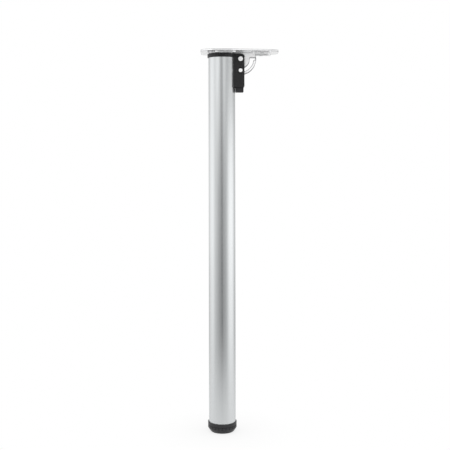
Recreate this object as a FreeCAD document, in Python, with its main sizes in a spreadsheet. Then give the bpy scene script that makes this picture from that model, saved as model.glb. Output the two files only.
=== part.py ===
"""Folding table leg with a height adjustable foot.

Millimetres. The origin is the centre of the sole on the floor, +Z runs up the tube
and +X points to the long end of the fixing plate, which is the way the foot folds.
"""

import FreeCAD
import Part
import math
import os
import re
import Sketcher

from FreeCAD import Vector

# Driving sizes: alias, value, meaning

SIZES = [
    ("fit_gap", 0.05, "radial clearance of pressed and turning fits"),
    ("run_gap", 0.3, "clearance between pieces of different bodies"),

    ("sole_dia", 42, "non-slip sole"),
    ("sole_thick", 2.5, "sole, floor to top face"),
    ("sole_proud", 0.8, "sole below the underside of the knob"),
    ("snap_dia", 6, "neck of the sole's snap button"),
    ("snap_lip", 1.2, "lip of the button beyond its neck"),
    ("snap_neck", 1.2, "height of the neck above the sole"),
    ("snap_head", 1, "height of the button's head"),

    ("knob_lip", 1.7, "grip band of the knob beyond the tube"),
    ("toe_rim", 1, "underside of the knob beyond the sole"),
    ("knob_height", 11, "adjuster knob"),
    ("knob_band", 4.1, "height of the grip band"),
    ("grip_count", 24, "grip grooves round the knob"),
    ("grip_wide", 2.8, "mouth of a grip groove"),
    ("grip_depth", 0.8, "depth of a grip groove"),

    ("stud_dia", 10, "threaded stud"),
    ("stud_seat", 5.9, "foot of the stud above the floor"),
    ("foot_gap", 0.5, "slit between the knob and the insert"),
    ("foot_travel", 20, "height adjustment"),

    ("flange_lip", 1.7, "flange of the insert beyond the tube"),
    ("flange_thick", 5.7, "flange of the foot insert"),
    ("insert_depth", 32, "plug of the insert inside the tube"),
    ("insert_wall", 2.5, "skirt of the plug"),
    ("insert_rib", 2, "ribs between hub and skirt"),
    ("insert_ribs", 4, "number of ribs"),
    ("hub_dia", 26, "hub round the nut"),
    ("nut_flats", 17, "hexagon nut across flats"),
    ("nut_thick", 8, "hexagon nut"),
    ("nut_floor", 4, "nut above the bottom of the tube"),

    ("tube_dia", 50, "round tube"),
    ("tube_wall", 1.5, "tube wall"),
    ("tube_length", 680, "tube"),

    ("collar_lip", 1.8, "collar of the head casting beyond the tube"),
    ("collar_thick", 6.7, "collar of the head casting"),
    ("spigot_below", 11.8, "spigot inside the tube below the housing"),
    ("spigot_wall", 5.45, "wall of the spigot round its hollow"),
    ("spigot_roof", 4.4, "solid spigot between its hollow and the sector's sweep"),
    ("housing_width", 26, "housing across both cheeks"),
    ("cheek_thick", 3.7, "one cheek of the housing"),
    ("housing_front", 7.2, "front face of the housing ahead of the pivot"),
    ("housing_block", 22.2, "housing below the slider's shoulder"),
    ("housing_wall", 1.5, "front wall below the sector"),
    ("housing_nose", 1.3, "chamfer at the foot of the front wall"),

    ("pivot_ahead", 10.1, "pivot ahead of the tube"),
    ("pivot_drop", 9.8, "pivot below the bracket base"),
    ("pivot_dia", 6, "pivot pin"),
    ("pivot_head", 8.6, "head of the pivot pin"),
    ("pivot_head_thick", 1.3, "head of the pivot pin"),
    ("bush_dia", 9, "spacer bush on the pivot pin"),
    ("ring_dia", 10, "retaining ring of the pivot pin"),
    ("ring_thick", 1, "retaining ring of the pivot pin"),

    ("base_thick", 2, "sheet of the sector bracket"),
    ("base_inset", 1, "rear edge of the bracket base inside the tube's outline"),
    ("base_step", 5, "front of the wide part inside the tube's outline"),
    ("base_half", 22, "half width of the wide part"),
    ("base_round", 6, "corners of the wide part"),
    ("sector_gap", 13.5, "clear width between the quadrant cheeks"),
    ("sector_rad", 29, "outer edge of the quadrant cheeks"),
    ("sector_back", 6, "rear edge of the quadrant behind the pivot"),

    ("lock_dia", 5, "lock pin"),
    ("sector_rim", 1.7, "sheet left beyond a notch"),
    ("lock_in", 3, "travel into a notch"),
    ("lock_over", 1.5, "spare travel of the push tail"),
    ("lock_head", 7, "flanged ends of the lock pin"),
    ("lock_head_thick", 1, "flanged ends of the lock pin"),
    ("tongue_half", 5, "half depth of the slider's tongue"),
    ("tongue_over", 10, "tongue above the lock pin"),
    ("shoulder_gap", 0.5, "shoulder of the slider clear of the sector when pushed in"),
    ("tail_length", 9, "push tail below the housing"),
    ("tail_edge", 1, "chamfer of the push tail"),
    ("spring_dia", 7.6, "lock spring, outside"),
    ("spring_wire", 0.8, "wire of the lock spring"),
    ("spring_seat", 4, "spring pocket in the tongue"),
    ("spring_turns", 5, "turns of the lock spring"),

    ("plate_thick", 3, "fixing plate"),
    ("plate_back_lip", 14.1, "rear edge of the plate behind the tube"),
    ("plate_front", 105.5, "front edge of the plate ahead of the tube axis"),
    ("plate_wide", 52, "half width at the rear"),
    ("plate_narrow", 34, "half width at the front"),
    ("plate_taper", 20, "start of the taper ahead of the tube axis"),
    ("plate_round_back", 26, "rear corners"),
    ("plate_round_front", 20, "front corners"),
    ("dish_length", 39, "pressed screw dish"),
    ("dish_width", 16, "pressed screw dish"),
    ("dish_press", 2.6, "depth of the pressing"),
    ("dish_wall", 2.4, "sheet left round a pressing"),
    ("dish_slope", 20, "slope of the pressed walls, degrees"),
    ("rear_hole_x", 7, "rear pair of dishes ahead of the tube axis"),
    ("rear_hole_y", 40, "rear pair, half spacing"),
    ("front_hole_x", 74, "front pair of dishes ahead of the tube axis"),
    ("front_hole_y", 27, "front pair, half spacing"),
    ("screw_hole", 6.2, "screw holes"),

    ("rivet_dia", 5, "rivets of the bracket"),
    ("rivet_head", 7.4, "rivet heads"),
    ("rivet_head_thick", 1, "lower rivet heads"),
    ("rivet_in", 9, "rear rivet from the rear edge of the bracket base"),
]

# Levels and places that follow from the sizes

PLACES = [
    ("knob_dia", "tube_dia + 2 * knob_lip"),
    ("knob_toe_dia", "sole_dia + 2 * toe_rim"),
    ("flange_dia", "tube_dia + 2 * flange_lip"),
    ("collar_dia", "tube_dia + 2 * collar_lip"),
    ("pivot_out", "tube_dia / 2 + pivot_ahead"),
    ("plate_back", "tube_dia / 2 + plate_back_lip"),
    ("base_back", "tube_dia / 2 - base_inset"),
    ("base_front", "tube_dia / 2 - base_step"),
    ("rivet_rear", "base_back - rivet_in"),
    ("knob_base", "sole_proud"),
    ("knob_top", "knob_base + knob_height"),
    ("sole_top", "sole_thick"),
    ("flange_base", "knob_top + foot_gap"),
    ("tube_base", "flange_base + flange_thick"),
    ("tube_top", "tube_base + tube_length"),
    ("tube_bore", "tube_dia - 2 * tube_wall"),
    ("nut_base", "tube_base + nut_floor"),
    ("stud_top", "nut_base + nut_thick + foot_travel"),
    ("collar_top", "tube_top + collar_thick"),
    ("base_under", "collar_top + run_gap"),
    ("plate_under", "base_under + base_thick"),
    ("plate_top", "plate_under + plate_thick"),
    ("pivot_level", "base_under - pivot_drop"),
    ("sector_half", "sector_gap / 2 + base_thick"),
    ("inner_half", "housing_width / 2 - cheek_thick"),
    ("lock_rad", "sector_rad - sector_rim - run_gap - lock_dia / 2 - lock_in"),
    ("slot_out", "lock_rad + lock_dia / 2 + run_gap"),
    ("slot_in", "lock_rad - lock_over - lock_dia / 2 - run_gap"),
    ("notch_out", "lock_rad + lock_in + lock_dia / 2 + run_gap"),
    ("notch_half", "lock_dia / 2 + run_gap"),
    ("block_top", "sector_rad + lock_over + shoulder_gap"),
    ("tongue_top", "lock_rad - tongue_over"),
    ("housing_drop", "block_top + housing_block"),
    ("tail_drop", "housing_drop + tail_length"),
    ("housing_base", "pivot_level - housing_drop"),
    ("spigot_base", "housing_base - spigot_below"),
    ("spigot_bore", "tube_bore - 2 * fit_gap - 2 * spigot_wall"),
    ("sweep_rad", "sector_rad + 2 * run_gap"),
    ("hollow_top", "pivot_level - sweep_rad - spigot_roof"),
    ("rivet_fore", "pivot_out - sweep_rad * 2 / 3"),
    ("slider_back", "tube_dia / 2 + run_gap"),
    ("slider_front", "pivot_out + housing_front - housing_wall - run_gap"),
]

SPRING_SIDES = 8
WIRE_SIDES = 6

PLANES = {"XY": "XY_Plane", "XZ": "XZ_Plane", "YZ": "YZ_Plane"}

doc = FreeCAD.newDocument("folding_table_leg")
sizes = doc.addObject("Spreadsheet::Sheet", "sizes")
places = doc.addObject("Spreadsheet::Sheet", "places")
SIZE_NAMES = {row[0] for row in SIZES}
PLACE_NAMES = {row[0] for row in PLACES}


def full(text):
    """Expression with each bare name written as a cell of its sheet."""
    def owner(match):
        word = match.group(0)
        if word in SIZE_NAMES:
            return "sizes." + word
        if word in PLACE_NAMES:
            return "places." + word
        return word
    return re.sub(r"[a-z][a-z_]*", owner, str(text))


def fill_sheets():
    for line, (name, value, meaning) in enumerate(SIZES, 1):
        sizes.set("A%d" % line, meaning)
        sizes.set("B%d" % line, str(value))
        sizes.setAlias("B%d" % line, name)
    doc.recompute()
    for line, (name, rule) in enumerate(PLACES, 1):
        places.set("A%d" % line, name)
        places.set("B%d" % line, "=" + full(rule))
        places.setAlias("B%d" % line, name)
        doc.recompute()


def val(text):
    """Number that an expression gives with the present sizes."""
    return float(sizes.evalExpression(full(text)))


def bind(item, name, text):
    item.setExpression(name, full(text))


# Sketch and feature helpers

def new_body(name):
    body = doc.addObject("PartDesign::Body", name)
    body.Label = name
    return body


def new_sketch(body, plane, level="0"):
    sketch = body.newObject("Sketcher::SketchObject", "outline")
    base = [f for f in body.Origin.OriginFeatures if f.Role == PLANES[plane]][0]
    sketch.AttachmentSupport = (base, [""])
    sketch.MapMode = "FlatFace"
    bind(sketch, "AttachmentOffset.Base.z", level)
    return sketch


def hold(sketch, kind, *rest):
    """Driving constraint whose last argument is its expression."""
    text = rest[-1]
    index = sketch.addConstraint(Sketcher.Constraint(kind, *rest[:-1], val(text)))
    bind(sketch, "Constraints[%d]" % index, text)


def place_point(sketch, edge, end, across, up):
    """Hold a point of the sketch; a zero coordinate is put on the axis."""
    for kind, text, axis in (("DistanceX", across, -2), ("DistanceY", up, -1)):
        if text == "0":
            sketch.addConstraint(Sketcher.Constraint("PointOnObject", edge, end, axis))
        else:
            hold(sketch, kind, -1, 1, edge, end, text)


def add_polygon(sketch, corners):
    """Closed straight outline; each corner is a pair of expressions."""
    first = sketch.GeometryCount
    spots = [Vector(val(a), val(b), 0) for a, b in corners]
    count = len(spots)
    for i in range(count):
        sketch.addGeometry(Part.LineSegment(spots[i], spots[(i + 1) % count]))
    for i in range(count):
        after = first + (i + 1) % count
        sketch.addConstraint(Sketcher.Constraint("Coincident", first + i, 2, after, 1))
    for i, (a, b) in enumerate(corners):
        place_point(sketch, first + i, 1, a, b)


def add_circle(sketch, dia, across="0", up="0"):
    centre = Vector(val(across), val(up), 0)
    index = sketch.addGeometry(Part.Circle(centre, Vector(0, 0, 1), val(dia) / 2))
    place_point(sketch, index, 3, across, up)
    hold(sketch, "Diameter", index, dia)


def box_corners(left, right, low, high):
    return [(left, low), (right, low), (right, high), (left, high)]


def extrude(body, sketch, kind, length=None, both=False, reverse=False):
    """Pad or Pocket of a sketch; without a length a pocket cuts right through."""
    feature = body.newObject("PartDesign::" + kind, kind)
    feature.Profile = sketch
    if both:
        feature.SideType = "Symmetric"
    feature.Reversed = reverse
    if length is None:
        feature.Type = "ThroughAll"
    else:
        bind(feature, "Length", length)
    doc.recompute()
    return feature


def turn(body, corners):
    """Revolution of a profile given as (radius, level) pairs."""
    sketch = new_sketch(body, "XZ")
    add_polygon(sketch, corners)
    feature = body.newObject("PartDesign::Revolution", "Revolution")
    feature.Profile = sketch
    feature.ReferenceAxis = (sketch, ["V_Axis"])
    doc.recompute()
    return feature


def pattern(body, feature, count):
    """Polar pattern of a feature about the leg's axis."""
    copies = body.newObject("PartDesign::PolarPattern", "PolarPattern")
    axis = [f for f in body.Origin.OriginFeatures if f.Role == "Z_Axis"][0]
    copies.Originals = [feature]
    copies.Axis = (axis, [""])
    copies.Angle = 360
    bind(copies, "Occurrences", count)
    body.Tip = copies
    doc.recompute()
    return copies


def dress(body, kind, size, wanted):
    """Fillet or Chamfer on the edges of the tip that pass a test."""
    tip = body.Tip
    names = ["Edge%d" % (i + 1) for i, e in enumerate(tip.Shape.Edges) if wanted(e)]
    feature = body.newObject("PartDesign::" + kind, kind)
    feature.Base = (tip, names)
    bind(feature, "Radius" if kind == "Fillet" else "Size", size)
    doc.recompute()
    return feature


def upright(edge):
    """True for a straight edge along Z."""
    if edge.Curve.TypeId != "Part::GeomLine":
        return False
    return abs(edge.tangentAt(edge.FirstParameter).z) > 0.999


def ring_at(level, radius):
    """Test for a round edge about the Z axis at a level."""
    def wanted(edge):
        curve = edge.Curve
        if curve.TypeId != "Part::GeomCircle":
            return False
        same = abs(curve.Radius - val(radius)) < 0.01
        return same and abs(curve.Center.z - val(level)) < 0.01
    return wanted


# Foot: sole, knob and stud, insert and nut

def make_sole():
    body = new_body("foot_sole")
    neck = "sole_top + snap_neck"
    head = "sole_top + snap_neck + snap_head"
    lip = "snap_dia / 2 + snap_lip"
    turn(body, [("0", "0"), ("sole_dia / 2", "0"), ("sole_dia / 2", "sole_top"),
                ("snap_dia / 2", "sole_top"), ("snap_dia / 2", neck), (lip, neck),
                ("snap_dia / 2", head), ("0", head)])
    return body


def make_knob():
    body = new_body("foot_knob")
    seat = "sole_top + run_gap"
    neck = "sole_top + snap_neck - run_gap"
    cave = "stud_seat"
    rim = "sole_dia / 2 + run_gap"
    grip = "knob_top - knob_band"
    turn(body, [("snap_dia / 2 + run_gap", seat), (rim, seat), (rim, "knob_base"),
                ("knob_toe_dia / 2", "knob_base"),
                ("knob_dia / 2 - knob_lip", "knob_base + (%s - knob_base) * 0.6" % grip),
                ("knob_dia / 2", grip), ("knob_dia / 2", "knob_top"),
                ("stud_dia / 2", "knob_top"),
                ("stud_dia / 2", cave), ("snap_dia / 2 + snap_lip + run_gap", cave),
                ("snap_dia / 2 + snap_lip + run_gap", neck),
                ("snap_dia / 2 + run_gap", neck)])
    cutter = new_sketch(body, "XY", grip)
    mouth = "knob_dia / 2 + run_gap"
    add_polygon(cutter, [("knob_dia / 2 - grip_depth", "0"), (mouth, "-grip_wide / 2"),
                         (mouth, "grip_wide / 2")])
    cut = extrude(body, cutter, "Pocket", "knob_band * 2", both=True)
    pattern(body, cut, "grip_count")
    return body


def make_stud():
    body = new_body("foot_stud")
    turn(body, box_corners("0", "stud_dia / 2 - fit_gap", "stud_seat", "stud_top"))
    return body


def make_insert():
    body = new_body("foot_insert")
    plug = "tube_bore / 2 - fit_gap"
    skirt = "tube_bore / 2 - fit_gap - insert_wall"
    bore = "stud_dia / 2 + run_gap * 2"
    top = "tube_base + insert_depth"
    hub_top = "nut_base + nut_thick + insert_wall"
    turn(body, [(bore, "flange_base"), ("flange_dia / 2", "flange_base"),
                ("flange_dia / 2", "tube_base"), (plug, "tube_base"), (plug, top),
                (skirt, top), (skirt, "nut_base"), ("hub_dia / 2", "nut_base"),
                ("hub_dia / 2", hub_top), (bore, hub_top)])
    rib = new_sketch(body, "XY", "nut_base")
    add_polygon(rib, box_corners("hub_dia / 2 - fit_gap", "tube_bore / 2 - insert_wall",
                                 "-insert_rib / 2", "insert_rib / 2"))
    pad = extrude(body, rib, "Pad", "nut_thick")
    pattern(body, pad, "insert_ribs")
    seat = new_sketch(body, "XY", "nut_base")
    add_hexagon(seat, "nut_flats + 2 * fit_gap")
    extrude(body, seat, "Pocket", "nut_thick + insert_wall", reverse=True)
    return body


def add_hexagon(sketch, flats):
    """Hexagon about the origin with two flats along the first axis."""
    long_half = "(%s) / sqrt(3)" % flats
    corner = "(%s) / sqrt(3) / 2" % flats
    flat = "(%s) / 2" % flats
    add_polygon(sketch, [(long_half, "0"), (corner, flat), ("-" + corner, flat),
                         ("-" + long_half, "0"), ("-" + corner, "-" + flat),
                         (corner, "-" + flat)])


def make_nut():
    body = new_body("insert_nut")
    sketch = new_sketch(body, "XY", "nut_base")
    add_hexagon(sketch, "nut_flats")
    add_circle(sketch, "stud_dia + 2 * fit_gap")
    extrude(body, sketch, "Pad", "nut_thick")
    return body


# Tube

def make_tube():
    body = new_body("leg_tube")
    ring = new_sketch(body, "XY", "tube_base")
    add_circle(ring, "tube_dia")
    add_circle(ring, "tube_bore")
    extrude(body, ring, "Pad", "tube_length")
    window = new_sketch(body, "YZ")
    half = "housing_width / 2 + fit_gap"
    add_polygon(window, box_corners("-(%s)" % half, half, "housing_base - fit_gap",
                                    "tube_top + collar_thick"))
    extrude(body, window, "Pocket", "tube_dia", reverse=True)
    return body


# Head casting: collar, slotted spigot and the housing that carries both pins

def make_head():
    body = new_body("leg_head")
    spigot = "tube_bore / 2 - fit_gap"
    turn(body, [("0", "hollow_top"), ("spigot_bore / 2", "hollow_top"),
                ("spigot_bore / 2", "spigot_base"), (spigot, "spigot_base"),
                (spigot, "tube_top"), ("collar_dia / 2", "tube_top"),
                ("collar_dia / 2", "collar_top"), ("0", "collar_top")])

    side = new_sketch(body, "XZ")
    front = "pivot_out + housing_front"
    brow = "collar_top - pivot_level"
    turn_in = "sqrt((%s) * (%s) - housing_front * housing_front)" % (brow, brow)
    add_housing_outline(side, front, brow, turn_in)
    extrude(body, side, "Pad", "housing_width", both=True)
    dress(body, "Chamfer", "run_gap * 3", front_edge)

    sweep = new_sketch(body, "XZ")
    add_circle(sweep, "2 * sweep_rad", "pivot_out", "pivot_level")
    extrude(body, sweep, "Pocket", "2 * inner_half", both=True)

    channel = new_sketch(body, "XZ")
    add_polygon(channel, box_corners("slider_back - run_gap", "slider_front + run_gap",
                                     "housing_base - run_gap",
                                     "pivot_level - block_top + lock_over + 3 * run_gap"))
    extrude(body, channel, "Pocket", "2 * inner_half", both=True)
    bore = new_sketch(body, "XZ")
    add_circle(bore, "pivot_dia + 2 * fit_gap", "pivot_out", "pivot_level")
    extrude(body, bore, "Pocket", both=True)
    slots = new_sketch(body, "XZ")
    add_pin_slot(slots, "lock_dia + 8 * fit_gap")
    extrude(body, slots, "Pocket", both=True)
    for side_sign in ("-", ""):
        level = "%s(housing_width / 2 - lock_head_thick - fit_gap)" % side_sign
        recess = new_sketch(body, "XZ", level)
        add_pin_slot(recess, "lock_head + 2 * run_gap")
        extrude(body, recess, "Pocket", "lock_head_thick + 2 * fit_gap",
                reverse=side_sign == "")
    pit = new_sketch(body, "XY", "collar_top")
    add_circle(pit, "rivet_head + run_gap * 4", "-rivet_rear")
    extrude(body, pit, "Pocket", "rivet_head_thick")
    return body


def add_housing_outline(sketch, front, brow, turn_in):
    """Housing seen from the side: its brow is an arc about the pivot."""
    rear = "spigot_bore / 2 - cheek_thick"
    nose = "pivot_out + housing_front - housing_nose"
    corners = [(rear, "collar_top"), (rear, "housing_base"), (nose, "housing_base"),
               (front, "housing_base + 2 * housing_nose"),
               (front, "pivot_level + " + turn_in), ("pivot_out", "collar_top")]
    spots = [Vector(val(a), val(b), 0) for a, b in corners]
    for i in range(4):
        sketch.addGeometry(Part.LineSegment(spots[i], spots[i + 1]))
    pivot = Vector(val("pivot_out"), val("pivot_level"), 0)
    start = math.atan2(spots[4].y - pivot.y, spots[4].x - pivot.x)
    circle = Part.Circle(pivot, Vector(0, 0, 1), val(brow))
    sketch.addGeometry(Part.ArcOfCircle(circle, start, math.pi / 2))
    sketch.addGeometry(Part.LineSegment(spots[5], spots[0]))
    for i in range(3):
        sketch.addConstraint(Sketcher.Constraint("Coincident", i, 2, i + 1, 1))
    sketch.addConstraint(Sketcher.Constraint("Coincident", 3, 2, 4, 1))
    sketch.addConstraint(Sketcher.Constraint("Coincident", 4, 2, 5, 1))
    sketch.addConstraint(Sketcher.Constraint("Coincident", 5, 2, 0, 1))
    for i in range(4):
        place_point(sketch, i, 1, *corners[i])
    place_point(sketch, 4, 3, "pivot_out", "pivot_level")
    hold(sketch, "DistanceX", -1, 1, 4, 1, front)
    hold(sketch, "DistanceX", -1, 1, 5, 1, "pivot_out")
    hold(sketch, "Radius", 4, brow)


def front_edge(edge):
    """Upright corner edges of the housing's front face."""
    if not upright(edge):
        return False
    return abs(edge.Vertexes[0].X - val("pivot_out + housing_front")) < 0.01


def add_pin_slot(sketch, width):
    """Upright slot for the lock pin over all of its travel."""
    high = "pivot_level - lock_rad + lock_over + run_gap"
    low = "pivot_level - lock_rad - lock_in - run_gap"
    add_capsule(sketch, ("pivot_out", low), ("pivot_out", high), width)


# Pivot and lock

def pin_disc(body, dia, near, far):
    """Round length along Y, from the near to the far place, about the pivot."""
    sketch = new_sketch(body, "XZ", "-(%s)" % far)
    add_circle(sketch, dia, "pivot_out", body_level[body.Name])
    return extrude(body, sketch, "Pad", "(%s) - (%s)" % (far, near))


body_level = {
    "pivot_pin": "pivot_level",
    "pivot_bush": "pivot_level",
    "pivot_ring": "pivot_level",
    "lock_pin": "pivot_level - lock_rad",
}


def make_pivot_pin():
    body = new_body("pivot_pin")
    half = "housing_width / 2"
    end = "housing_width / 2 + ring_thick * 2"
    pin_disc(body, "pivot_dia", "-" + half, end)
    near = "-housing_width / 2 - pivot_head_thick"
    pin_disc(body, "pivot_head", near, "-" + half)
    dress(body, "Chamfer", "pivot_head_thick / 3", lambda e: at_y(e, near))
    return body


def at_y(edge, place):
    """True for an edge that lies in the plane at this Y."""
    return all(abs(v.Y - val(place)) < 0.01 for v in edge.Vertexes)


def make_bush():
    body = new_body("pivot_bush")
    half = "sector_gap / 2 - run_gap"
    pin_disc(body, "bush_dia", "-(%s)" % half, half)
    bore = new_sketch(body, "XZ")
    add_circle(bore, "pivot_dia + 2 * fit_gap", "pivot_out", "pivot_level")
    extrude(body, bore, "Pocket", both=True)
    return body


def make_ring():
    body = new_body("pivot_ring")
    near = "housing_width / 2 + fit_gap"
    pin_disc(body, "ring_dia", near, near + " + ring_thick")
    bore = new_sketch(body, "XZ")
    add_circle(bore, "pivot_dia + 2 * fit_gap", "pivot_out", "pivot_level")
    extrude(body, bore, "Pocket", both=True)
    return body


def make_slider():
    body = new_body("lock_slider")
    tongue = new_sketch(body, "XZ")
    add_polygon(tongue, box_corners("pivot_out - tongue_half", "pivot_out + tongue_half",
                                    "pivot_level - block_top - tongue_half",
                                    "pivot_level - tongue_top"))
    extrude(body, tongue, "Pad", "sector_gap - 2 * run_gap", both=True)
    block = new_sketch(body, "XZ")
    add_polygon(block, box_corners("slider_back", "slider_front",
                                   "pivot_level - tail_drop",
                                   "pivot_level - block_top"))
    extrude(body, block, "Pad", "2 * inner_half - 2 * run_gap", both=True)
    foot = "pivot_level - tail_drop"
    dress(body, "Chamfer", "tail_edge",
          lambda e: all(abs(v.Z - val(foot)) < 0.01 for v in e.Vertexes))
    hole = new_sketch(body, "XZ")
    add_circle(hole, "lock_dia + 2 * fit_gap", "pivot_out", "pivot_level - lock_rad")
    extrude(body, hole, "Pocket", both=True)
    seat = new_sketch(body, "XY", "pivot_level - tongue_top")
    add_circle(seat, "spring_dia + 2 * run_gap", "pivot_out")
    extrude(body, seat, "Pocket", "spring_seat")
    return body


def make_lock_pin():
    body = new_body("lock_pin")
    half = "housing_width / 2"
    inner = "housing_width / 2 - lock_head_thick"
    pin_disc(body, "lock_dia", "-(%s)" % inner, inner)
    pin_disc(body, "lock_head", "-" + half, "-(%s)" % inner)
    pin_disc(body, "lock_head", inner, half)
    return body


def make_spring():
    """Coil of straight lengths and six-sided wire, from its seat up to the bush."""
    low = val("pivot_level - tongue_top - spring_seat + run_gap + spring_wire / 2")
    span = val("tongue_top + spring_seat - bush_dia / 2 - run_gap - fit_gap - spring_wire")
    mean = val("(spring_dia - spring_wire) / 2")
    steps = int(val("spring_turns")) * SPRING_SIDES
    points = []
    for i in range(steps + 1):
        angle = 2 * math.pi * i / SPRING_SIDES
        points.append(Vector(mean * math.cos(angle), mean * math.sin(angle),
                             low + span * i / steps))
    path = Part.makePolygon(points)
    along = (points[1] - points[0]).normalize()
    side = Vector(0, 0, 1).cross(along).normalize()
    lift = along.cross(side)
    rim = []
    for i in range(WIRE_SIDES + 1):
        angle = 2 * math.pi * i / WIRE_SIDES
        reach = side * math.cos(angle) + lift * math.sin(angle)
        rim.append(points[0] + reach * val("spring_wire / 2"))
    end = Part.makePolygon(rim)
    spring = doc.addObject("Part::Feature", "lock_spring")
    spring.Label = "lock_spring"
    spring.Shape = path.makePipeShell([end], True, False, 1)
    bind(spring, "Placement.Base.x", "pivot_out")
    return spring


# Plate side: sector bracket, plate and rivets

def make_sector():
    """Folded sheet: a base under the plate and two quadrant cheeks with an arc slot."""
    body = new_body("sector_bracket")
    reach = "pivot_out + sqrt(sector_rad * sector_rad - pivot_drop * pivot_drop)"
    base = new_sketch(body, "XY", "base_under")
    add_polygon(base, [("-base_back", "-base_half"), ("base_front", "-base_half"),
                       ("base_front", "-sector_half"), (reach, "-sector_half"),
                       (reach, "sector_half"), ("base_front", "sector_half"),
                       ("base_front", "base_half"), ("-base_back", "base_half")])
    extrude(body, base, "Pad", "base_thick")
    dress(body, "Chamfer", "base_round",
          lambda e: upright(e) and abs(abs(e.Vertexes[0].Y) - val("base_half")) < 0.01)

    cheek = new_sketch(body, "XZ")
    add_quadrant(cheek, reach)
    extrude(body, cheek, "Pad", "2 * sector_half", both=True)
    core = new_sketch(body, "XZ")
    add_polygon(core, box_corners("0", "pivot_out + 2 * sector_rad",
                                  "pivot_level - 2 * sector_rad", "base_under"))
    extrude(body, core, "Pocket", "sector_gap", both=True)
    dress(body, "Fillet", "base_thick * 0.7", fold_edge)

    arc = new_sketch(body, "XZ")
    add_arc_slot(arc)
    extrude(body, arc, "Pocket", both=True)
    for across, up in ((notch_span("pivot_out", "-notch_half", "notch_half"),
                        notch_span("pivot_level", "-notch_out", "-slot_in")),
                       (notch_span("pivot_out", "slot_in", "notch_out"),
                        notch_span("pivot_level", "-notch_half", "notch_half"))):
        notch = new_sketch(body, "XZ")
        add_polygon(notch, box_corners(across[0], across[1], up[0], up[1]))
        extrude(body, notch, "Pocket", both=True)

    bore = new_sketch(body, "XZ")
    add_circle(bore, "pivot_dia + 2 * fit_gap", "pivot_out", "pivot_level")
    extrude(body, bore, "Pocket", both=True)
    holes = new_sketch(body, "XY", "base_under")
    for x, y in RIVET_PLACES:
        add_circle(holes, "rivet_dia + 2 * fit_gap", x, y)
    extrude(body, holes, "Pocket", "base_thick", reverse=True)
    return body


RIVET_PLACES = [("-rivet_rear", "0"), ("rivet_fore", "0")]


def notch_span(centre, low, high):
    return ("%s + (%s)" % (centre, low), "%s + (%s)" % (centre, high))


def fold_edge(edge):
    """The two outer edges where the cheeks are folded down from the base."""
    if edge.Curve.TypeId != "Part::GeomLine":
        return False
    ends = edge.Vertexes
    on_top = all(abs(v.Z - val("plate_under")) < 0.01 for v in ends)
    on_side = all(abs(abs(v.Y) - val("sector_half")) < 0.01 for v in ends)
    return on_top and on_side


def add_quadrant(sketch, reach):
    """Outline of a quadrant cheek: rear edge, round edge, and the fold at the top."""
    back = "pivot_out - sector_back"
    drop = "sqrt(sector_rad * sector_rad - sector_back * sector_back)"
    pivot = Vector(val("pivot_out"), val("pivot_level"), 0)
    low = Vector(val(back), val("pivot_level - " + drop), 0)
    tip = Vector(val(reach), val("base_under"), 0)
    top = Vector(val(back), val("base_under"), 0)
    start = math.atan2(low.y - pivot.y, low.x - pivot.x)
    end = math.atan2(tip.y - pivot.y, tip.x - pivot.x)
    round_edge = Part.Circle(pivot, Vector(0, 0, 1), val("sector_rad"))
    sketch.addGeometry(Part.ArcOfCircle(round_edge, start, end))
    sketch.addGeometry(Part.LineSegment(tip, top))
    sketch.addGeometry(Part.LineSegment(top, low))
    for a, b in ((0, 1), (1, 2)):
        sketch.addConstraint(Sketcher.Constraint("Coincident", a, 2, b, 1))
    sketch.addConstraint(Sketcher.Constraint("Coincident", 2, 2, 0, 1))
    place_point(sketch, 0, 3, "pivot_out", "pivot_level")
    hold(sketch, "Radius", 0, "sector_rad")
    place_point(sketch, 1, 2, back, "base_under")
    sketch.addConstraint(Sketcher.Constraint("Horizontal", 1))
    sketch.addConstraint(Sketcher.Constraint("Vertical", 2))


def add_arc_slot(sketch):
    """Quarter ring from below the pivot to ahead of it."""
    pivot = Vector(val("pivot_out"), val("pivot_level"), 0)
    up = Vector(0, 0, 1)
    outer, inner = val("slot_out"), val("slot_in")
    down, ahead = Vector(0, -1, 0), Vector(1, 0, 0)
    for r in (outer, inner):
        sketch.addGeometry(Part.ArcOfCircle(Part.Circle(pivot, up, r), -math.pi / 2, 0))
    sketch.addGeometry(Part.LineSegment(pivot + ahead * outer, pivot + ahead * inner))
    sketch.addGeometry(Part.LineSegment(pivot + down * inner, pivot + down * outer))
    for a, a_end, b, b_end in ((0, 2, 2, 1), (2, 2, 1, 2), (1, 1, 3, 1), (3, 2, 0, 1)):
        sketch.addConstraint(Sketcher.Constraint("Coincident", a, a_end, b, b_end))
    for arc, size in ((0, "slot_out"), (1, "slot_in")):
        place_point(sketch, arc, 3, "pivot_out", "pivot_level")
        hold(sketch, "Radius", arc, size)
    sketch.addConstraint(Sketcher.Constraint("Horizontal", 2))
    sketch.addConstraint(Sketcher.Constraint("Vertical", 3))
    hold(sketch, "DistanceY", -1, 1, 2, 1, "pivot_level")
    hold(sketch, "DistanceX", -1, 1, 3, 1, "pivot_out")


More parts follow.
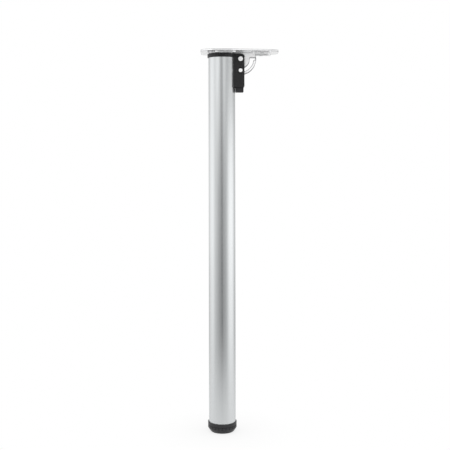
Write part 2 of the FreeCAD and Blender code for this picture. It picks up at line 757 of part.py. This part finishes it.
def add_capsule(sketch, start, end, width):
    """Slot shape with round ends between two centres, along one sketch axis."""
    first = sketch.GeometryCount
    a = Vector(val(start[0]), val(start[1]), 0)
    b = Vector(val(end[0]), val(end[1]), 0)
    radius = val(width) / 2
    along = (b - a).normalize()
    left = Vector(-along.y, along.x, 0) * radius
    heading = math.atan2(along.y, along.x)
    quarter = math.pi / 2
    up = Vector(0, 0, 1)
    sketch.addGeometry(Part.ArcOfCircle(Part.Circle(a, up, radius),
                                        heading + quarter, heading + 3 * quarter))
    sketch.addGeometry(Part.LineSegment(a - left, b - left))
    sketch.addGeometry(Part.ArcOfCircle(Part.Circle(b, up, radius),
                                        heading - quarter, heading + quarter))
    sketch.addGeometry(Part.LineSegment(b + left, a + left))
    for i in range(4):
        after = first + (i + 1) % 4
        sketch.addConstraint(Sketcher.Constraint("Tangent", first + i, 2, after, 1))
    place_point(sketch, first, 3, start[0], start[1])
    place_point(sketch, first + 2, 3, end[0], end[1])
    hold(sketch, "Radius", first, "(%s) / 2" % width)


def dish_ends(x, y):
    """Centres of a dish's two round ends."""
    reach = "(dish_length - dish_width) / 2"
    return ("%s - %s" % (x, reach), y), ("%s + %s" % (x, reach), y)


DISH_PLACES = [("rear_hole_x", "-rear_hole_y"), ("rear_hole_x", "rear_hole_y"),
               ("front_hole_x", "-front_hole_y"), ("front_hole_x", "front_hole_y")]


def make_plate():
    body = new_body("top_plate")
    outline = new_sketch(body, "XY", "plate_under")
    add_polygon(outline, [("-plate_back", "-plate_wide"), ("plate_taper", "-plate_wide"),
                          ("plate_front", "-plate_narrow"), ("plate_front", "plate_narrow"),
                          ("plate_taper", "plate_wide"), ("-plate_back", "plate_wide")])
    extrude(body, outline, "Pad", "plate_thick")
    for size, x in (("plate_round_back", "-plate_back"), ("plate_round_front", "plate_front"),
                    ("plate_round_back", "plate_taper")):
        dress(body, "Fillet", size,
              lambda e: upright(e) and abs(e.Vertexes[0].X - val(x)) < 0.01)

    swell = new_sketch(body, "XY", "plate_under")
    for x, y in DISH_PLACES:
        start, end = dish_ends(x, y)
        add_capsule(swell, start, end, "dish_width")
    press = extrude(body, swell, "Pad", "dish_press", reverse=True)
    bind(press, "TaperAngle", "-dish_slope")
    doc.recompute()
    hollow = new_sketch(body, "XY", "plate_top")
    for x, y in DISH_PLACES:
        start, end = dish_ends(x, y)
        add_capsule(hollow, start, end, "dish_width - 2 * dish_wall")
    press = extrude(body, hollow, "Pocket", "dish_press + plate_thick - dish_wall")
    bind(press, "TaperAngle", "-dish_slope")
    doc.recompute()

    holes = new_sketch(body, "XY", "plate_top")
    for x, y in DISH_PLACES:
        add_circle(holes, "screw_hole", x, y)
    extrude(body, holes, "Pocket")
    rivets = new_sketch(body, "XY", "plate_top")
    for x, y in RIVET_PLACES:
        add_circle(rivets, "rivet_dia + 2 * fit_gap", x, y)
    extrude(body, rivets, "Pocket")
    dress(body, "Chamfer", "(rivet_head - rivet_dia) / 2", rivet_mouth)
    return body


def rivet_mouth(edge):
    """Upper rims of the rivet holes."""
    if edge.Curve.TypeId != "Part::GeomCircle":
        return False
    level = abs(edge.Vertexes[0].Z - val("plate_top")) < 0.01
    return level and abs(edge.Curve.Radius - val("rivet_dia / 2 + fit_gap")) < 0.01


def primitive(kind, name, x, y, level, **sizes_by_name):
    """Part primitive standing on a level, with every size bound to an expression."""
    item = doc.addObject("Part::" + kind, name)
    for key, text in sizes_by_name.items():
        bind(item, key, text)
    bind(item, "Placement.Base.x", x)
    bind(item, "Placement.Base.y", y)
    bind(item, "Placement.Base.z", level)
    return item


def make_rivets():
    """Rivets with a round head below, a shank, and a head sunk flush in the plate."""
    group = []
    sink = "(rivet_head - rivet_dia) / 2"
    for i, (x, y) in enumerate(RIVET_PLACES):
        head = primitive("Cylinder", "rivet_head_%d" % i, x, y,
                         "base_under - rivet_head_thick",
                         Radius="rivet_head / 2", Height="rivet_head_thick")
        shank = primitive("Cylinder", "rivet_shank_%d" % i, x, y, "base_under",
                          Radius="rivet_dia / 2",
                          Height="base_thick + plate_thick - %s" % sink)
        flare = primitive("Cone", "rivet_flare_%d" % i, x, y, "plate_top - " + sink,
                          Radius1="rivet_dia / 2", Radius2="rivet_head / 2", Height=sink)
        rivet = doc.addObject("Part::MultiFuse", "rivet_%d" % i)
        rivet.Shapes = [head, shank, flare]
        group.append(rivet)
    rivets = doc.addObject("Part::Compound", "bracket_rivets")
    rivets.Label = "bracket_rivets"
    rivets.Links = group
    return rivets


def check_and_write(parts):
    """Every object computed, every sub-part one or more valid solids, then the files."""
    doc.recompute()
    broken = [o.Name for o in doc.Objects if {"Invalid", "Error"} & set(o.State)]
    if broken:
        raise RuntimeError("failed objects: " + ", ".join(broken))
    os.makedirs("parts", exist_ok=True)
    for part in parts:
        shape = part.Shape
        if shape.isNull() or not shape.isValid() or not shape.Solids:
            raise RuntimeError("bad shape: " + part.Label)
    for part in parts:
        box = part.Shape.BoundBox
        print("%-16s solids %d volume %10.1f  z %.2f to %.2f"
              % (part.Label, len(part.Shape.Solids), part.Shape.Volume, box.ZMin, box.ZMax))
        part.Shape.exportStep("parts/%s.step" % part.Label)


fill_sheets()
check_and_write([
    make_sole(), make_knob(), make_stud(), make_insert(), make_nut(), make_tube(),
    make_head(), make_pivot_pin(), make_bush(), make_ring(), make_slider(),
    make_lock_pin(), make_spring(), make_sector(), make_plate(), make_rivets(),
])
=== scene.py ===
"""Looks of the folding table leg: finishes, thread, light and camera, in metres."""

import math

import bmesh
import bpy
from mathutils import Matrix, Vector


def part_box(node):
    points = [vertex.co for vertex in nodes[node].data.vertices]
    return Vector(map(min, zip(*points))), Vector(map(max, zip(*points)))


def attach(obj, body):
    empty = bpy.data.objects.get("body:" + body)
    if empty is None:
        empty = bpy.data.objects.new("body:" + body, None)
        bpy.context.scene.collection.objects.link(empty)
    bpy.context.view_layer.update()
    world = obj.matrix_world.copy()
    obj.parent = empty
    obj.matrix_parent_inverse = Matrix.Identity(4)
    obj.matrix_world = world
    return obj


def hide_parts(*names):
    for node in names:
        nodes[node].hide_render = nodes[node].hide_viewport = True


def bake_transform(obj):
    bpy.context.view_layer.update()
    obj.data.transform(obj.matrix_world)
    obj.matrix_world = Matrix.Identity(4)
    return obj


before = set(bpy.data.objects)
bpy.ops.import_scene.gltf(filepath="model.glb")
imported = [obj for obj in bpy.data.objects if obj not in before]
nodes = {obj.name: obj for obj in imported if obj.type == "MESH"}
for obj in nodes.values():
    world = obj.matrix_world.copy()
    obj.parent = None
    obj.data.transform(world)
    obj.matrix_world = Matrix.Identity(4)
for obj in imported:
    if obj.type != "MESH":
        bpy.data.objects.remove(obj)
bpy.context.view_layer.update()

# Camera: level, in front of the leg, at a little over half its height

CAMERA_PLACE = (0.0058, -1.7, 0.535)
CAMERA_LENS = 72.55
CAMERA_SHIFT = -0.1782
CAMERA_ROLL = 0.1

# Thread of the foot's stud. The profile of one turn is given as (share of the pitch, depth).

THREAD_PITCH = 0.0015
THREAD_DEPTH = 0.0009
THREAD_SIDES = 40
THREAD_PROFILE = ((0.0, THREAD_DEPTH), (0.12, THREAD_DEPTH), (0.44, 0.0),
                  (0.56, 0.0), (0.88, THREAD_DEPTH), (1.0, THREAD_DEPTH))
THREAD_CHAMFER = 0.0010
MERGE_DISTANCE = 1e-6

# Coil of the lock spring: turns, wire diameter, steps in a turn and sides of the wire

COIL_TURNS = 5
COIL_WIRE = 0.0008
COIL_STEPS = 28
COIL_SIDES = 8

# Painted edge shade: a darker line along an edge that stands in for the dark outlines of
# rounded edges; on the bracket it also gives the cut edges their duller tone. Reach of the line
# on bracket and plate, its tone, and how straight the rounded normal is at the line's middle and
# at its end

CUT_EDGE_AND_SHADE = 0.0022
PLATE_EDGE_SHADE = 0.0016
EDGE_SHADE_TONE = (0.10, 0.10, 0.11)
EDGE_TURN = (0.90, 0.996)

# Where nearly all values of a noise texture lie

NOISE_SPAN = (0.3, 0.7)

# Edge rounding of the solids, by node, at edges that turn by more than this angle

ROUNDED_ANGLE = math.radians(38)
EDGE_ROUNDS = {
    "top_plate": 0.0005,
    "sector_bracket": 0.0007,
    "leg_head": 0.0004,
    "lock_slider": 0.0004,
    "leg_tube": 0.0003,
    "pivot_pin": 0.0003,
    "lock_pin": 0.0003,
    "pivot_ring": 0.0001,
    "foot_insert": 0.0005,
    "foot_knob": 0.0003,
    "foot_sole": 0.0003,
}

# Light: a plain level on the pieces. Metal mirrors a pale room with grey screens in front,
# given as (degrees from the front, level) high up and low down. HORIZON is the rise of the
# mirrored ray over which the low curve gives way to the high one.

PLAIN_LEVEL = 0.95
LIGHT_HIGH = [(-180, 0.80), (-152, 0.72), (-126, 0.90), (-98, 1.20), (-75, 1.10),
              (-64, 0.98), (-50, 1.14), (-36, 1.24), (-24, 1.14), (-12, 0.68), (-2, 0.54),
              (6, 0.64), (20, 1.00), (30, 0.86), (42, 0.62), (55, 0.58), (72, 0.62),
              (92, 0.68), (118, 0.58), (150, 0.60), (180, 0.80)]
LIGHT_LOW = [(-180, 0.85), (-152, 0.82), (-130, 1.02), (-103, 1.26), (-91, 1.32),
             (-75, 1.18), (-59, 0.94), (-40, 0.78), (-23, 0.56), (-6, 0.42), (-3, 0.40),
             (-1.8, 0.08), (1.8, 0.08), (3, 0.42), (11, 0.49), (28, 0.62), (46, 0.92),
             (58, 1.25), (72, 1.42), (98, 1.38), (112, 1.10), (130, 0.80), (155, 0.72),
             (180, 0.85)]
HORIZON = (0.0, 0.06)

# Floor: colour and half width. Metal mirrors it with the low curve, dimmed by direction and
# by distance from the leg, which near the leg gives way to one plain level. The pairs are
# distances in metres and the values at them.

FLOOR_COLOUR = (0.88, 0.88, 0.88, 1)
FLOOR_ROUGHNESS = 0.9
FLOOR_HALF = 30.0
FLOOR_DIP = [(-180, 1.0), (-90, 1.0), (-66, 0.95), (-40, 0.84), (-12, 0.81), (8, 0.84),
             (22, 0.87), (40, 0.93), (60, 1.0), (180, 1.0)]
FLOOR_LEVEL = 0.90
DIM_REACH, DIM_LEVELS = (0.5, 3.5), (0.74, 0.97)
ROOM_REACH, ROOM_SHARE = (0.1, 0.9), (0.2, 1.0)
GLOW_REACH, GLOW_SHARE = (0.1, 0.7), (0.80, 1.0)
SHADOW_REACH = 0.12
SHADOW_LEVEL = 0.78

# Soft lamps: place, aim, width and height, watts

LAMPS = {
    "soft_left": ((-1.5, -1.0, 1.3), (0, 0, 0.4), (1.0, 1.4), 8),
    "soft_right": ((1.5, -0.8, 1.0), (0, 0, 0.4), (0.8, 1.2), 7),
}


# Material helpers

def new_material(name):
    """Material with a Principled shader; returns it with its node tree and shader."""
    material = bpy.data.materials.new(name)
    material.use_nodes = True
    tree = material.node_tree
    return material, tree, tree.nodes["Principled BSDF"]


def node(tree, kind, **settings):
    """Node of a kind with its properties and, in lower case, its input values set."""
    made = tree.nodes.new(kind)
    for key, value in settings.items():
        if hasattr(made, key):
            setattr(made, key, value)
        else:
            made.inputs[key.replace("_", " ").title()].default_value = value
    return made


def texture_place(tree, stretch=(1, 1, 1)):
    """Object coordinates, stretched along chosen axes."""
    place = node(tree, "ShaderNodeTexCoord")
    mapping = node(tree, "ShaderNodeMapping")
    mapping.inputs["Scale"].default_value = stretch
    tree.links.new(place.outputs["Object"], mapping.inputs["Vector"])
    return mapping.outputs["Vector"]


def noise(tree, vector, scale, detail):
    """Noise texture's value at a place."""
    made = node(tree, "ShaderNodeTexNoise", scale=scale, detail=detail)
    tree.links.new(vector, made.inputs["Vector"])
    return made.outputs["Fac"]


def map_range(tree, value, low, high, to_low, to_high):
    """Value carried over from one range to another, held at both ends."""
    made = node(tree, "ShaderNodeMapRange")
    made.inputs["From Min"].default_value = low
    made.inputs["From Max"].default_value = high
    made.inputs["To Min"].default_value = to_low
    made.inputs["To Max"].default_value = to_high
    tree.links.new(value, made.inputs["Value"])
    return made.outputs["Result"]


def spread(tree, value, low, high):
    """Noise value spread over a range."""
    return map_range(tree, value, *NOISE_SPAN, low, high)


def blend(tree, share, first, second):
    """Mix of two numbers, each a socket or a constant."""
    made = node(tree, "ShaderNodeMix", data_type="FLOAT")
    for key, value in (("Factor", share), ("A", first), ("B", second)):
        if isinstance(value, (int, float)):
            made.inputs[key].default_value = value
        else:
            tree.links.new(value, made.inputs[key])
    return made.outputs["Result"]


def times(tree, first, second):
    """Product of two numbers."""
    made = node(tree, "ShaderNodeMath", operation="MULTIPLY")
    tree.links.new(first, made.inputs[0])
    tree.links.new(second, made.inputs[1])
    return made.outputs["Value"]


def mix_shaders(tree, share, first, second):
    """Mix of two shaders by a share from 0 to 1."""
    made = node(tree, "ShaderNodeMixShader")
    tree.links.new(share, made.inputs["Fac"])
    tree.links.new(first, made.inputs[1])
    tree.links.new(second, made.inputs[2])
    return made.outputs["Shader"]


def bump(tree, shader, value, strength, distance):
    """Fine relief from a value."""
    made = node(tree, "ShaderNodeBump", strength=strength, distance=distance)
    tree.links.new(value, made.inputs["Height"])
    tree.links.new(made.outputs["Normal"], shader.inputs["Normal"])


def tint(tree, shader, value, first, second):
    """Base colour that goes from one tone to another with a value."""
    made = node(tree, "ShaderNodeMix", data_type="RGBA")
    made.inputs["A"].default_value = (*first, 1)
    made.inputs["B"].default_value = (*second, 1)
    tree.links.new(value, made.inputs["Factor"])
    tree.links.new(made.outputs["Result"], shader.inputs["Base Color"])


def edge_shade_mask(tree, radius):
    """1 within a radius of a sharp edge, 0 on open faces: the mask of the painted edge shade."""
    bent = node(tree, "ShaderNodeBevel", samples=8, radius=radius)
    straight = node(tree, "ShaderNodeNewGeometry")
    turn = node(tree, "ShaderNodeVectorMath", operation="DOT_PRODUCT")
    tree.links.new(bent.outputs["Normal"], turn.inputs[0])
    tree.links.new(straight.outputs["True Normal"], turn.inputs[1])
    return map_range(tree, turn.outputs["Value"], *EDGE_TURN, 1.0, 0.0)


def paint_edge_shade(tree, shader, radius):
    """Lays the painted edge shade tone over the base colour along sharp edges."""
    colour = shader.inputs["Base Color"]
    made = node(tree, "ShaderNodeMix", data_type="RGBA")
    tree.links.new(edge_shade_mask(tree, radius), made.inputs["Factor"])
    tree.links.new(colour.links[0].from_socket, made.inputs["A"])
    made.inputs["B"].default_value = (*EDGE_SHADE_TONE, 1)
    tree.links.new(made.outputs["Result"], colour)


# Finishes

def silver_tube():
    """Satin silver coat with a faint drawn grain along the tube."""
    material, tree, shader = new_material("silver_tube_coat")
    shader.inputs["Metallic"].default_value = 0.92
    grain = noise(tree, texture_place(tree, (1, 1, 0.02)), 900, 2)
    cloud = noise(tree, texture_place(tree, (1, 1, 0.3)), 30, 3)
    tint(tree, shader, cloud, (0.655, 0.675, 0.685), (0.695, 0.710, 0.715))
    tree.links.new(spread(tree, grain, 0.17, 0.23), shader.inputs["Roughness"])
    bump(tree, shader, grain, 0.06, 0.0002)
    return material


def bright_metal(name, dark, light, rough_low, rough_high, metal):
    """Bright coat with slight wiping haze and a very faint waviness."""
    material, tree, shader = new_material(name)
    shader.inputs["Metallic"].default_value = metal
    haze = noise(tree, texture_place(tree), 120, 4)
    wave = noise(tree, texture_place(tree), 45, 2)
    tint(tree, shader, haze, dark, light)
    tree.links.new(spread(tree, haze, rough_low, rough_high), shader.inputs["Roughness"])
    bump(tree, shader, wave, 0.08, 0.0006)
    return material


def plate_coat():
    """Bright coat of the fixing plate, with painted edge shade: a darker line along its edges."""
    coat = bright_metal("plate_chrome", (0.93, 0.94, 0.95), (0.98, 0.98, 0.98), 0.10, 0.18, 0.5)
    paint_edge_shade(coat.node_tree, coat.node_tree.nodes["Principled BSDF"], PLATE_EDGE_SHADE)
    return coat


def bright_zinc():
    """Pale zinc on punched sheet: bright faces, darker along the edges, partly the duller tone of
    the cut edges and partly painted edge shade.
    """
    material, tree, shader = new_material("bright_zinc")
    shader.inputs["Metallic"].default_value = 0.08
    grain = noise(tree, texture_place(tree, (1, 1, 0.2)), 300, 3)
    # Darker tone: the larger of the edge mask (duller cut edges plus painted edge shade) and the
    # random grain
    share = node(tree, "ShaderNodeMath", operation="MAXIMUM")
    tree.links.new(edge_shade_mask(tree, CUT_EDGE_AND_SHADE), share.inputs[0])
    tree.links.new(spread(tree, grain, 0.0, 0.10), share.inputs[1])
    tint(tree, shader, share.outputs["Value"], (0.99, 0.99, 0.99), EDGE_SHADE_TONE)
    tree.links.new(spread(tree, grain, 0.34, 0.44), shader.inputs["Roughness"])
    bump(tree, shader, grain, 0.08, 0.0002)
    return material


def black_moulding(name, tone, rough_low, rough_high, grain_size, grain_depth):
    """Matte black plastic with the fine pebbled grain of its mould."""
    material, tree, shader = new_material(name)
    place = texture_place(tree)
    grain = noise(tree, place, grain_size, 4)
    cloud = noise(tree, place, 60, 3)
    dark = tuple(0.85 * c for c in tone)
    light = tuple(1.2 * c for c in tone)
    tint(tree, shader, cloud, dark, light)
    shader.inputs["Specular IOR Level"].default_value = 0.42
    tree.links.new(spread(tree, cloud, rough_low, rough_high), shader.inputs["Roughness"])
    bump(tree, shader, grain, 0.35, grain_depth)
    return material


def dress(name, material):
    """Gives a CAD node one finish, and rounds its sharp edges where listed."""
    item = nodes[name]
    item.data.materials.clear()
    item.data.materials.append(material)
    if name in EDGE_ROUNDS:
        modifier = item.modifiers.new("edge", "BEVEL")
        modifier.width = EDGE_ROUNDS[name]
        modifier.segments = 2
        modifier.limit_method = "ANGLE"
        modifier.angle_limit = ROUNDED_ANGLE
        modifier.harden_normals = True


# Pieces that the scene models in more detail than the solids

def join_rings(mesh, rings, closed):
    """Faces between neighbouring rings of points."""
    for a, b in zip(rings, rings[1:]):
        for k in range(len(a) if closed else len(a) - 1):
            after = (k + 1) % len(a)
            mesh.faces.new((a[k], b[k], b[after], a[after]))


def new_piece(name, mesh, material):
    """Object with one finish from a mesh under construction."""
    data = bpy.data.meshes.new(name)
    mesh.to_mesh(data)
    mesh.free()
    data.materials.append(material)
    piece = bpy.data.objects.new(name, data)
    bpy.context.collection.objects.link(piece)
    return piece


def add_disc(mesh, radius, level):
    """Flat round cap on the stud."""
    rim = []
    for i in range(THREAD_SIDES):
        angle = 2 * math.pi * i / THREAD_SIDES
        rim.append(mesh.verts.new((radius * math.cos(angle), radius * math.sin(angle), level)))
    mesh.faces.new(rim)


def threaded_stud(material):
    """Stud with a helical ridge round a plain core, chamfered at its upper end."""
    low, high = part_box("foot_stud")
    outer = (high[0] - low[0]) / 2
    turns = (high[2] - low[2]) / THREAD_PITCH
    mesh = bmesh.new()
    rings = []
    for i in range(int(turns * THREAD_SIDES) + 1):
        angle = 2 * math.pi * i / THREAD_SIDES
        level = low[2] + THREAD_PITCH * i / THREAD_SIDES
        ring = []
        for lift, depth in THREAD_PROFILE:
            z = min(level + lift * THREAD_PITCH, high[2])
            near_end = max(0.0, z - (high[2] - THREAD_CHAMFER))
            radius = outer - max(depth, near_end)
            ring.append(mesh.verts.new((radius * math.cos(angle), radius * math.sin(angle), z)))
        rings.append(ring)
    join_rings(mesh, rings, closed=False)
    add_disc(mesh, outer - THREAD_DEPTH, high[2])
    add_disc(mesh, outer - THREAD_DEPTH, low[2])
    bmesh.ops.remove_doubles(mesh, verts=mesh.verts, dist=MERGE_DISTANCE)
    bmesh.ops.recalc_face_normals(mesh, faces=mesh.faces)
    piece = new_piece("stud_thread", mesh, material)
    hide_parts("foot_stud")
    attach(piece, "adjuster")


def coil_spring(material):
    """Spring of round wire, half a turn flat at each end, stretched between head and slider."""
    low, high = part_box("lock_spring")
    wire = COIL_WIRE / 2
    across = (low[0] + high[0]) / 2
    depth = (low[1] + high[1]) / 2
    mean = min(high[0] - low[0], high[1] - low[1]) / 2 - wire
    foot, head = low[2] + wire, high[2] - wire
    steps = COIL_TURNS * COIL_STEPS
    flat = COIL_STEPS // 2
    mesh = bmesh.new()
    rings = []
    for i in range(steps + 1):
        angle = 2 * math.pi * i / COIL_STEPS
        rise = min(max((i - flat) / (steps - 2 * flat), 0.0), 1.0)
        out = Vector((math.cos(angle), math.sin(angle), 0))
        centre = Vector((across, depth, foot + rise * (head - foot))) + out * mean
        ring = []
        for k in range(COIL_SIDES):
            turn = 2 * math.pi * k / COIL_SIDES
            reach = out * math.cos(turn) + Vector((0, 0, math.sin(turn)))
            ring.append(mesh.verts.new(centre + reach * wire))
        rings.append(ring)
    join_rings(mesh, rings, closed=True)
    mesh.faces.new(rings[0])
    mesh.faces.new(rings[-1])
    bmesh.ops.recalc_face_normals(mesh, faces=mesh.faces)
    for face in mesh.faces:
        face.smooth = len(face.verts) == 4
    piece = new_piece("spring_coil", mesh, material)
    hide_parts("lock_spring")
    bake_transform(piece)


# Floor, light and camera

def way_round(tree, vector):
    """Direction round the leg as 0 to 1, with the front in the middle."""
    parts = node(tree, "ShaderNodeSeparateXYZ")
    tree.links.new(vector, parts.inputs["Vector"])
    flip = node(tree, "ShaderNodeMath", operation="MULTIPLY")
    flip.inputs[1].default_value = -1.0
    tree.links.new(parts.outputs["Y"], flip.inputs[0])
    angle = node(tree, "ShaderNodeMath", operation="ARCTAN2")
    tree.links.new(parts.outputs["X"], angle.inputs[0])
    tree.links.new(flip.outputs["Value"], angle.inputs[1])
    return map_range(tree, angle.outputs["Value"], -math.pi, math.pi, 0, 1)


def light_ramp(tree, way, stops):
    """Grey level by direction round the leg; the curve itself holds half of it."""
    ramp = node(tree, "ShaderNodeFloatCurve")
    curve = ramp.mapping.curves[0]
    ramp.mapping.use_clip = False
    curve.points[0].location = ((stops[0][0] + 180) / 360, stops[0][1] / 2)
    curve.points[1].location = ((stops[-1][0] + 180) / 360, stops[-1][1] / 2)
    for degrees, level in stops[1:-1]:
        curve.points.new((degrees + 180) / 360, level / 2)
    ramp.mapping.update()
    tree.links.new(way, ramp.inputs["Value"])
    level = node(tree, "ShaderNodeMath", operation="MULTIPLY")
    level.inputs[1].default_value = 2.0
    tree.links.new(ramp.outputs["Value"], level.inputs[0])
    return level.outputs["Value"]


def floor():
    """Large pale floor. The camera sees it as a clear layer that only holds the soft shadow,
    so that a foot screwed out past it stays in sight."""
    data = bpy.data.meshes.new("floor")
    half = FLOOR_HALF
    data.from_pydata([(-half, -half, 0), (half, -half, 0), (half, half, 0), (-half, half, 0)],
                     [], [(0, 1, 2, 3)])
    item = bpy.data.objects.new("floor", data)
    bpy.context.collection.objects.link(item)
    material, tree, shader = new_material("floor_white")
    shader.inputs["Base Color"].default_value = FLOOR_COLOUR
    shader.inputs["Roughness"].default_value = FLOOR_ROUGHNESS
    place = node(tree, "ShaderNodeTexCoord").outputs["Object"]
    length = node(tree, "ShaderNodeVectorMath", operation="LENGTH")
    tree.links.new(place, length.inputs[0])
    reach = length.outputs["Value"]
    way = way_round(tree, place)
    room = times(tree, light_ramp(tree, way, LIGHT_LOW), light_ramp(tree, way, FLOOR_DIP))
    dimmed = times(tree, room, map_range(tree, reach, *DIM_REACH, *DIM_LEVELS))
    mirrored = blend(tree, map_range(tree, reach, *ROOM_REACH, *ROOM_SHARE), FLOOR_LEVEL, dimmed)
    rays = node(tree, "ShaderNodeLightPath")
    glow = node(tree, "ShaderNodeEmission")
    tree.links.new(mirrored, glow.inputs["Strength"])
    share = times(tree, rays.outputs["Is Glossy Ray"],
                  map_range(tree, reach, *GLOW_REACH, *GLOW_SHARE))
    nearby = node(tree, "ShaderNodeAmbientOcclusion", samples=8, distance=SHADOW_REACH)
    clear = node(tree, "ShaderNodeBsdfTransparent")
    tree.links.new(map_range(tree, nearby.outputs["AO"], 0.0, 1.0, SHADOW_LEVEL, 1.0),
                   clear.inputs["Color"])
    lit = mix_shaders(tree, share, shader.outputs["BSDF"], glow.outputs["Emission"])
    seen = mix_shaders(tree, rays.outputs["Is Camera Ray"], lit, clear.outputs["BSDF"])
    tree.links.new(seen, tree.nodes["Material Output"].inputs["Surface"])
    item.data.materials.append(material)


def world_light():
    """White for the camera, the room with its screens for metal, a plain level for the rest."""
    world = bpy.data.worlds.new("studio")
    bpy.context.scene.world = world
    world.use_nodes = True
    tree = world.node_tree
    back = tree.nodes["Background"]
    place = node(tree, "ShaderNodeTexCoord").outputs["Generated"]
    way = way_round(tree, place)
    parts = node(tree, "ShaderNodeSeparateXYZ")
    tree.links.new(place, parts.inputs["Vector"])
    rise = map_range(tree, parts.outputs["Z"], *HORIZON, 0, 1)
    level = blend(tree, rise, light_ramp(tree, way, LIGHT_LOW), light_ramp(tree, way, LIGHT_HIGH))
    rays = node(tree, "ShaderNodeLightPath")
    mirrored = blend(tree, rays.outputs["Is Glossy Ray"], PLAIN_LEVEL, level)
    final = blend(tree, rays.outputs["Is Camera Ray"], mirrored, 1.0)
    tree.links.new(final, back.inputs["Strength"])
    back.inputs["Color"].default_value = (1, 1, 1, 1)


def lamp(name, place, aim, size, watts):
    """Soft area lamp that points at a place on the leg and isn't mirrored in metal."""
    data = bpy.data.lights.new(name, "AREA")
    data.shape = "RECTANGLE"
    data.size, data.size_y = size
    data.energy = watts
    item = bpy.data.objects.new(name, data)
    bpy.context.collection.objects.link(item)
    item.visible_glossy = False
    item.location = place
    item.rotation_euler = (Vector(aim) - Vector(place)).to_track_quat("-Z", "Y").to_euler()


def camera():
    """Level camera with its picture shifted down to the leg's middle."""
    data = bpy.data.cameras.new("camera")
    data.sensor_width = 36.0
    data.lens = CAMERA_LENS
    data.shift_y = CAMERA_SHIFT
    item = bpy.data.objects.new("camera", data)
    bpy.context.collection.objects.link(item)
    item.location = CAMERA_PLACE
    item.rotation_euler = (math.radians(90), math.radians(CAMERA_ROLL), 0)
    bpy.context.scene.camera = item


pin_zinc = bright_metal("pin_zinc", (0.94, 0.94, 0.95), (0.98, 0.98, 0.98), 0.34, 0.44, 0.35)
spring_steel = bright_metal("spring_steel", (0.48, 0.49, 0.51), (0.58, 0.59, 0.60),
                            0.26, 0.36, 1.0)
housing_black = black_moulding("housing_black", (0.011, 0.011, 0.012), 0.42, 0.55, 1600, 0.0002)
parts_black = black_moulding("parts_black", (0.018, 0.018, 0.020), 0.36, 0.50, 1800, 0.0002)
sole_black = black_moulding("sole_black", (0.040, 0.040, 0.042), 0.75, 0.90, 900, 0.0003)

FINISHES = {
    "top_plate": plate_coat(),
    "sector_bracket": bright_zinc(),
    "bracket_rivets": pin_zinc,
    "leg_head": housing_black,
    "pivot_pin": pin_zinc,
    "pivot_bush": parts_black,
    "pivot_ring": pin_zinc,
    "lock_slider": parts_black,
    "lock_pin": pin_zinc,
    "lock_spring": spring_steel,
    "leg_tube": silver_tube(),
    "foot_insert": parts_black,
    "insert_nut": pin_zinc,
    "foot_knob": parts_black,
    "foot_stud": pin_zinc,
    "foot_sole": sole_black,
}
for name, finish in FINISHES.items():
    dress(name, finish)

threaded_stud(pin_zinc)
coil_spring(spring_steel)
floor()
world_light()
for name, values in LAMPS.items():
    lamp(name, *values)
camera()
bpy.context.scene.view_settings.view_transform = "Standard"
